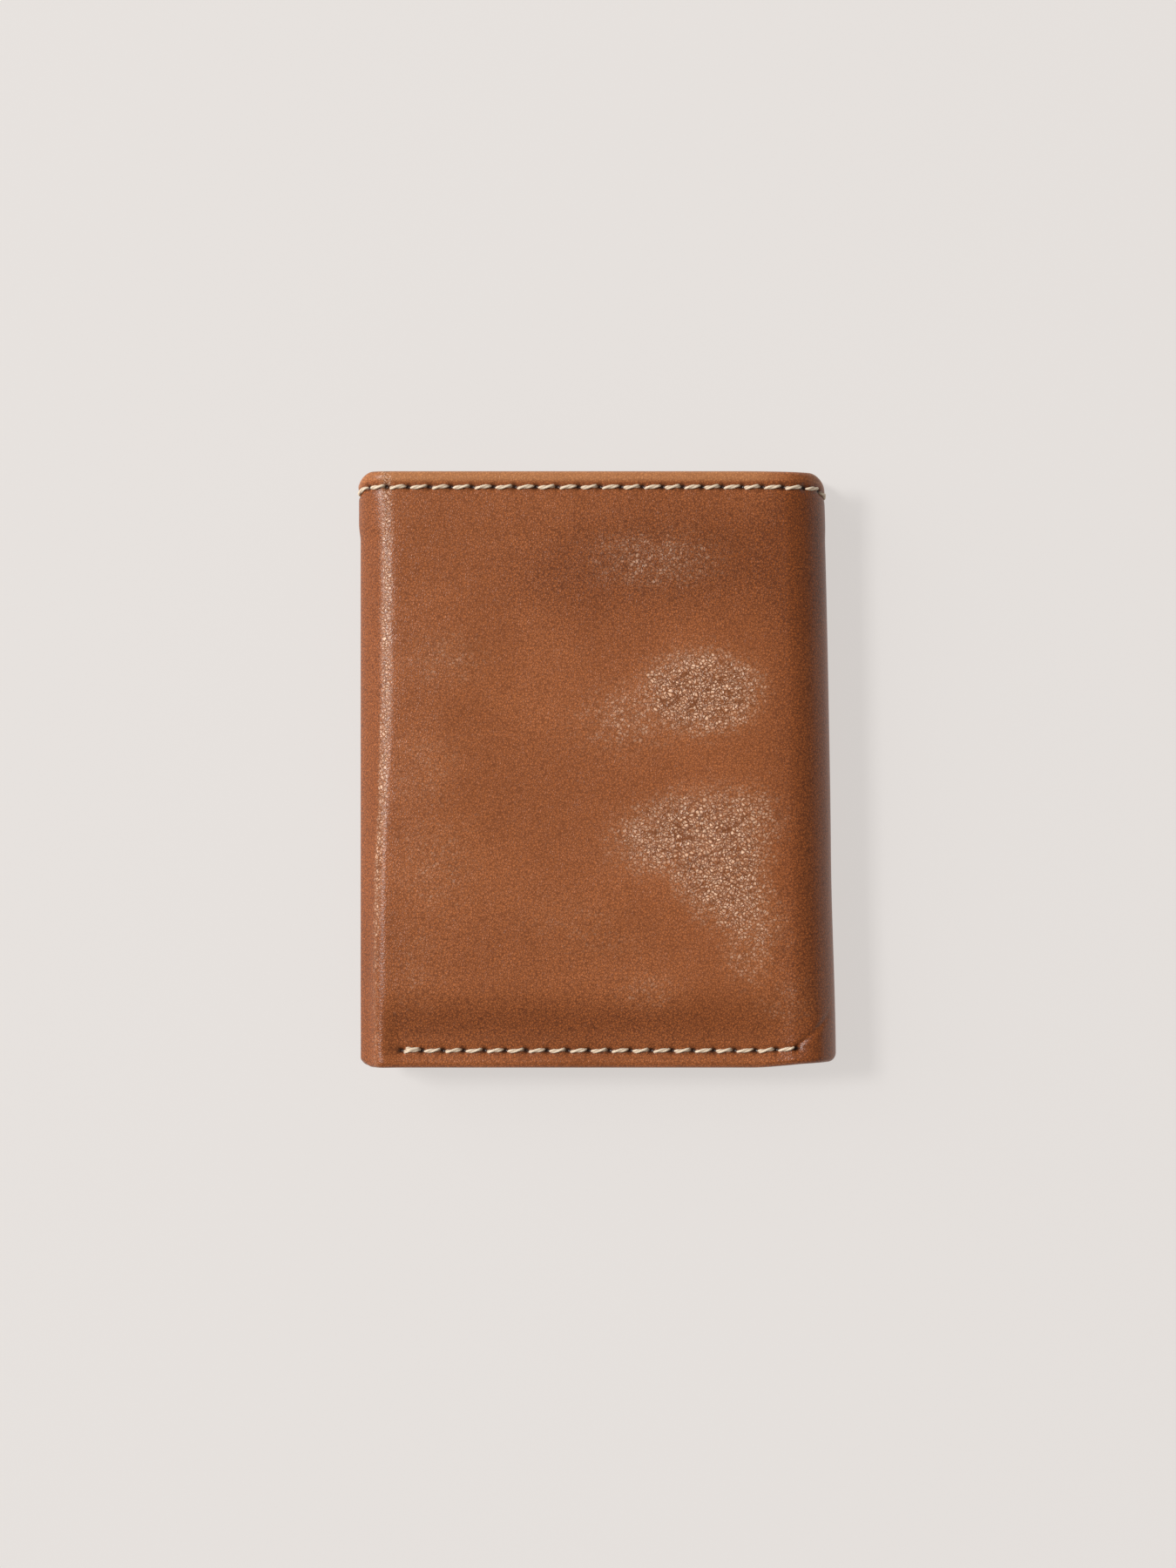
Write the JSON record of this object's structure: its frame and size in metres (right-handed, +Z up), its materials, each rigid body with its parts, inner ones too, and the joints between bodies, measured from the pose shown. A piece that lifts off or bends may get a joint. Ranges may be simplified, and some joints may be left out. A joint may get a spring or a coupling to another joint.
{
  "type": "trifold wallet",
  "caption": "Folding leather wallet: a stitched, hemmed shell wraps card slots, a clear card window and a full-width banknote compartment, and its flaps swing open at soft folds.",
  "frame": {"origin": "middle of the closed wallet's footprint, on the surface that it lies on", "axes": "+X towards the outer fold, +Y towards the opening of the bill compartment, +Z up out of the centre panel's outside face"},
  "size_m": [0.086, 0.108, 0.0159],
  "materials": {
    "shell_leather": "pebbled full-grain brown leather with a soft waxy sheen",
    "interior_leather": "smooth brown leather",
    "lining_fabric": "thin woven lining, dark brown",
    "thread": "twisted waxed thread, cream",
    "clear_film": "clear flexible film"
  },
  "bodies": {
    "outer_flap": {"outer_flap_shell": "shell_leather", "outer_flap_lining": "lining_fabric", "outer_flap_bill_wall": "interior_leather", "outer_flap_card_panel": "interior_leather", "outer_flap_back_pocket": "interior_leather", "outer_flap_back_pocket_lining": "lining_fabric", "outer_flap_middle_pocket": "interior_leather", "outer_flap_middle_pocket_lining": "lining_fabric", "outer_flap_front_pocket": "interior_leather", "outer_flap_top_stitches": "thread", "outer_flap_bottom_stitches": "thread", "outer_flap_side_stitches": "thread", "outer_flap_pocket_stitches": "thread"},
    "outer_spine_lower": {"outer_spine_lower_shell": "shell_leather", "outer_spine_lower_lining": "lining_fabric", "outer_spine_lower_bill_wall": "interior_leather", "outer_spine_lower_top_stitches": "thread"},
    "outer_spine_upper": {"outer_spine_upper_shell": "shell_leather", "outer_spine_upper_lining": "lining_fabric", "outer_spine_upper_bill_wall": "interior_leather", "outer_spine_upper_top_stitches": "thread"},
    "center_panel": {"center_panel_shell": "shell_leather", "center_panel_lining": "lining_fabric", "center_panel_bill_wall": "interior_leather", "center_panel_card_panel": "interior_leather", "center_panel_back_pocket": "interior_leather", "center_panel_back_pocket_lining": "lining_fabric", "center_panel_middle_pocket": "interior_leather", "center_panel_middle_pocket_lining": "lining_fabric", "center_panel_front_pocket": "interior_leather", "center_panel_top_stitches": "thread", "center_panel_bottom_stitches": "thread", "center_panel_pocket_stitches": "thread"},
    "inner_spine": {"inner_spine_shell": "shell_leather", "inner_spine_lining": "lining_fabric", "inner_spine_bill_wall": "interior_leather", "inner_spine_top_stitches": "thread"},
    "inner_flap": {"inner_flap_shell": "shell_leather", "inner_flap_lining": "lining_fabric", "inner_flap_bill_wall": "interior_leather", "inner_flap_card_panel": "interior_leather", "inner_flap_window_film": "clear_film", "inner_flap_window_frame": "interior_leather", "inner_flap_top_stitches": "thread", "inner_flap_bottom_stitches": "thread", "inner_flap_side_stitches": "thread", "inner_flap_pocket_stitches": "thread"}
  },
  "joints": [
    {"name": "outer_fold_lower", "type": "hinge", "parent": "outer_flap", "child": "outer_spine_lower", "pos_m": [0.03922, 0, 0.00074], "axis": [0, 1, 0], "range_deg": [0, 60]},
    {"name": "outer_fold_middle", "type": "hinge", "parent": "outer_spine_lower", "child": "outer_spine_upper", "pos_m": [0.04337, 0, 0.00792], "axis": [0, 1, 0], "range_deg": [0, 60]},
    {"name": "outer_fold_upper", "type": "hinge", "parent": "outer_spine_upper", "child": "center_panel", "pos_m": [0.03922, 0, 0.01511], "axis": [0, 1, 0], "range_deg": [0, 60]},
    {"name": "inner_fold_upper", "type": "hinge", "parent": "center_panel", "child": "inner_spine", "pos_m": [-0.04193, 0, 0.01478], "axis": [0, 1, 0], "range_deg": [0, 90]},
    {"name": "inner_fold_lower", "type": "hinge", "parent": "inner_spine", "child": "inner_flap", "pos_m": [-0.04193, 0, 0.00692], "axis": [0, 1, 0], "range_deg": [0, 90]}
  ],
  "couplings": [
    {"joint": "outer_fold_middle", "follows": "outer_fold_lower", "ratio": 1},
    {"joint": "outer_fold_upper", "follows": "outer_fold_lower", "ratio": 1},
    {"joint": "inner_fold_upper", "follows": "outer_fold_lower", "ratio": 0.4},
    {"joint": "inner_fold_lower", "follows": "outer_fold_lower", "ratio": 0.4}
  ]
}
